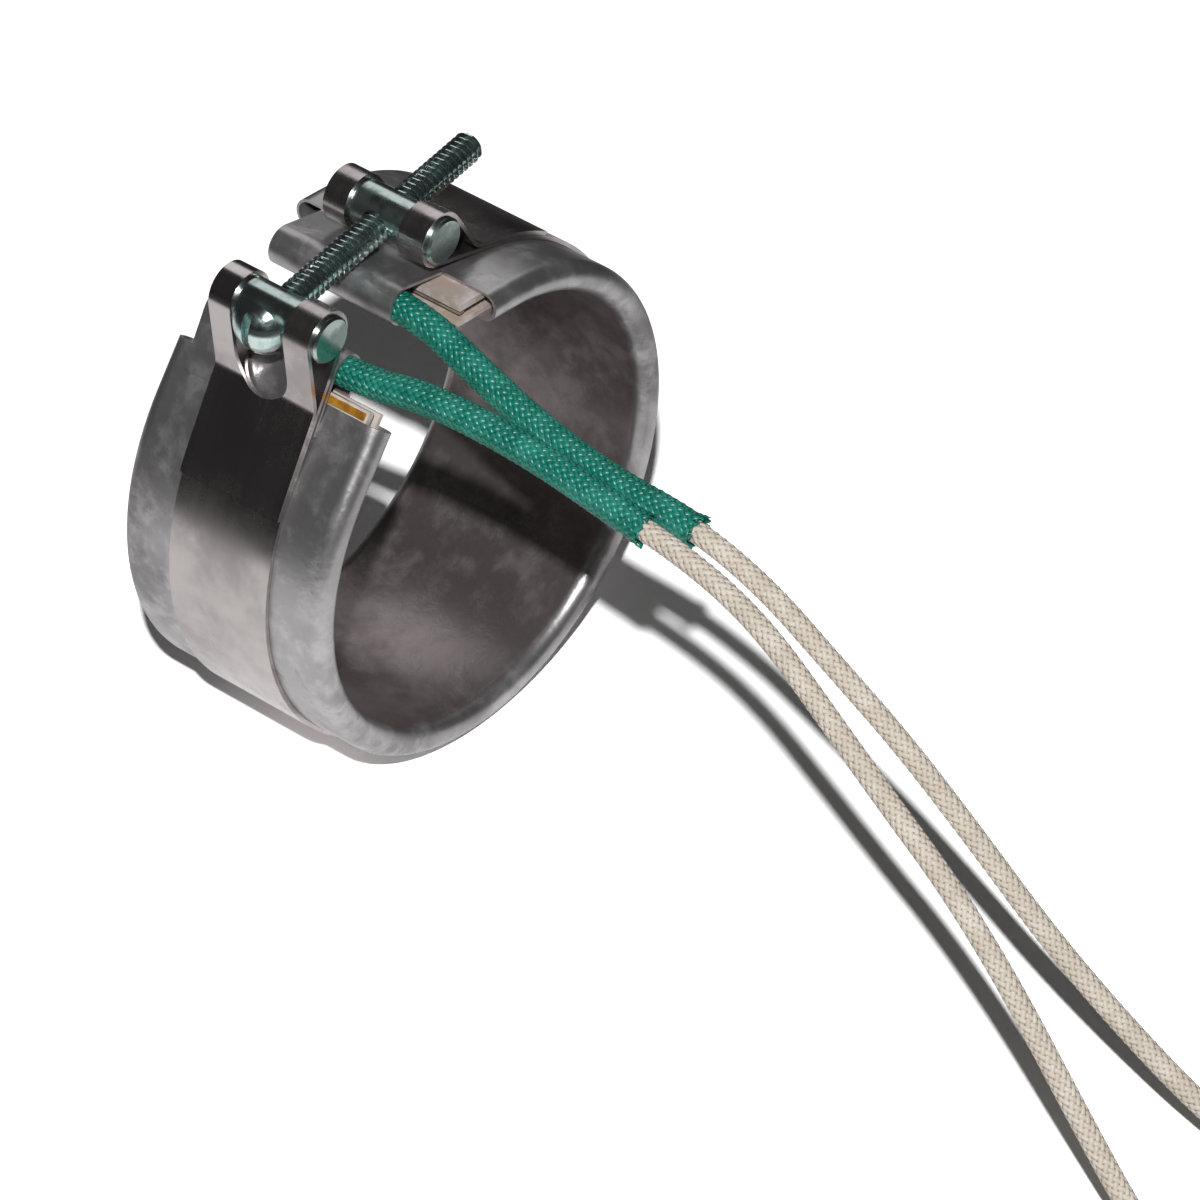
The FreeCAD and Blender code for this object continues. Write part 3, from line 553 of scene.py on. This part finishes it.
cutter_mesh = bpy.data.meshes.new("slot_cutter")
bm.to_mesh(cutter_mesh)
bm.free()
cutter = bpy.data.objects.new("slot_cutter", cutter_mesh)
bpy.context.scene.collection.objects.link(cutter)
slotting = screw.modifiers.new("slot", "BOOLEAN")
slotting.operation, slotting.object, slotting.solver = "DIFFERENCE", cutter, "EXACT"
bpy.context.view_layer.update()
slotted = bpy.data.meshes.new_from_object(
    screw.evaluated_get(bpy.context.evaluated_depsgraph_get()))
screw.modifiers.clear()
screw.data = slotted
bpy.data.objects.remove(cutter)
bm = bmesh.new()
bm.from_mesh(slotted)
sharp = [e for e in bm.edges if len(e.link_faces) == 2 and e.calc_face_angle() > 0.9
         and max(v.co.x for v in e.verts) < -0.3 * mm]
bmesh.ops.bevel(bm, geom=sharp, offset=0.14 * mm, segments=2, profile=0.5, affect="EDGES",
                material=-1)
turn = Vector((1, 0, 0)).rotation_difference(axis).to_matrix()
bmesh.ops.rotate(bm, cent=(0, 0, 0), matrix=turn, verts=bm.verts)
bmesh.ops.translate(bm, vec=seat, verts=bm.verts)
for face in bm.faces:
    face.smooth = True
bm.to_mesh(slotted)
bm.free()
plated = Finish("screw_zinc", 1.0, 0.2)
veil = plated.group(clouds, "Mask", Place=plated.place, Scale=300.0, Low=0.42, High=0.62)
plated.colour(plated.blend(veil, (0.72, 0.85, 0.83), (0.42, 0.57, 0.555)))
plated.rough(plated.spread(veil, 0.14, 0.3))
grit = plated.node("ShaderNodeTexNoise", [("Vector", plated.place), ("Scale", 2500.0)])
plated.relief(grit.outputs["Fac"], 0.12, 0.02 * mm)
slotted.materials.clear()
slotted.materials.append(plated.material)
slotted.set_sharp_from_angle(angle=math.radians(50))
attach(screw, "screw")
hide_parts("clamp_screw")

# ---- bench, lamps and camera ---------------------------------------------------------------------
# A bench that renders white to the camera under the strap's lowest point, one soft lamp close
# above the camera, and a weak wide one behind for the far side. In reflections the bench is
# painted to fade from bright near the object to near black further out, a painted dark surround.
bm = bmesh.new()
bmesh.ops.create_grid(bm, x_segments=1, y_segments=1, size=3.0,
                      matrix=Matrix.Translation((0, 0, cad_low.z)))
bench_mesh = bpy.data.meshes.new("bench")
bm.to_mesh(bench_mesh)
bm.free()
bench = bpy.data.objects.new("bench", bench_mesh)
bpy.context.scene.collection.objects.link(bench)
white = bpy.data.materials.new("bench_white")
white.use_nodes = True
tree = white.node_tree
tree.nodes.clear()
rays = add_node(tree, "ShaderNodeLightPath")
seen = add_node(tree, "ShaderNodeMath", [(0, rays.outputs["Is Camera Ray"]),
                                         (1, rays.outputs["Is Glossy Ray"])],
                operation="ADD", use_clamp=True)
seen = add_node(tree, "ShaderNodeMath", [(0, seen.outputs[0]),
                                         (1, rays.outputs["Is Transmission Ray"])],
                operation="ADD", use_clamp=True)
reach = add_node(tree, "ShaderNodeVectorMath", [
    (0, add_node(tree, "ShaderNodeTexCoord").outputs["Object"])], operation="LENGTH")
# painted reflection: to glossy rays the bench is bright within 0.17 m of its centre, near black
# past 0.235 m
near = add_node(tree, "ShaderNodeMapRange", [
    ("Value", reach.outputs["Value"]), ("From Min", 0.17), ("From Max", 0.235),
    ("To Min", 1.15), ("To Max", 0.06)])
pale = add_node(tree, "ShaderNodeMix", [
    (0, rays.outputs["Is Glossy Ray"]), (2, 2.3), (3, near.outputs["Result"])])
level = add_node(tree, "ShaderNodeMapRange", [
    ("Value", seen.outputs[0]), ("To Min", 0.6), ("To Max", pale.outputs[0])])
matt = add_node(tree, "ShaderNodeBsdfDiffuse", [("Color", level.outputs["Result"])])
surface = add_node(tree, "ShaderNodeOutputMaterial", [("Surface", matt.outputs["BSDF"])])
bench_mesh.materials.append(white)

world = bpy.data.worlds.new("studio")
bpy.context.scene.world = world
world.use_nodes = True
tree = world.node_tree
tree.nodes.clear()
rays = add_node(tree, "ShaderNodeLightPath")
level = add_node(tree, "ShaderNodeMapRange", [
    ("Value", rays.outputs["Is Camera Ray"]), ("To Min", 0.022), ("To Max", 1.0)])
sky = add_node(tree, "ShaderNodeBackground", [("Color", level.outputs["Result"])])
add_node(tree, "ShaderNodeOutputWorld", [("Surface", sky.outputs["Background"])])

back = Vector((-0.6037, -0.5065, 0.6157)).normalized()
right = Vector((0.6428, -0.7660, 0.0)).normalized()
up = back.cross(right).normalized()
roll = math.radians(0.5)
eye = back * 0.85
target = right * 0.03004 - up * 0.01994
camera_data = bpy.data.cameras.new("camera")
camera_data.sensor_width = 36.0
camera_data.lens = 172.9
camera_data.clip_start, camera_data.clip_end = 0.05, 20.0
camera = bpy.data.objects.new("camera", camera_data)
bpy.context.scene.collection.objects.link(camera)
depth_way = (eye - target).normalized()
flat_way = (right * math.cos(roll) + up * math.sin(roll))
flat_way = (flat_way - depth_way * flat_way.dot(depth_way)).normalized()
tall_way = depth_way.cross(flat_way)
camera.matrix_world = Matrix((
    (flat_way.x, tall_way.x, depth_way.x, eye.x), (flat_way.y, tall_way.y, depth_way.y, eye.y),
    (flat_way.z, tall_way.z, depth_way.z, eye.z), (0, 0, 0, 1)))
bpy.context.scene.camera = camera


def lamp(name, at, aim, size, power):
    data = bpy.data.lights.new(name, "AREA")
    data.shape = "DISK"
    data.size = size
    data.energy = power
    made = bpy.data.objects.new(name, data)
    made.location = at
    made.rotation_euler = (Vector(at) - Vector(aim)).to_track_quat("Z", "Y").to_euler()
    bpy.context.scene.collection.objects.link(made)
    return made


lamp("key", Vector((-0.5461, -0.4344, 0.7163)) * 1.3, (0, -0.02, 0), 0.034, 15.0)
fill = lamp("fill", (0.9, 0.7, 1.1), (0, 0, 0), 1.2, 3.2)
unlit = bpy.data.collections.new("bench_without_fill")
unlit.objects.link(bench)
unlit.collection_objects[0].light_linking.link_state = "EXCLUDE"
fill.light_linking.receiver_collection = unlit

bpy.context.scene.view_settings.view_transform = "Standard"
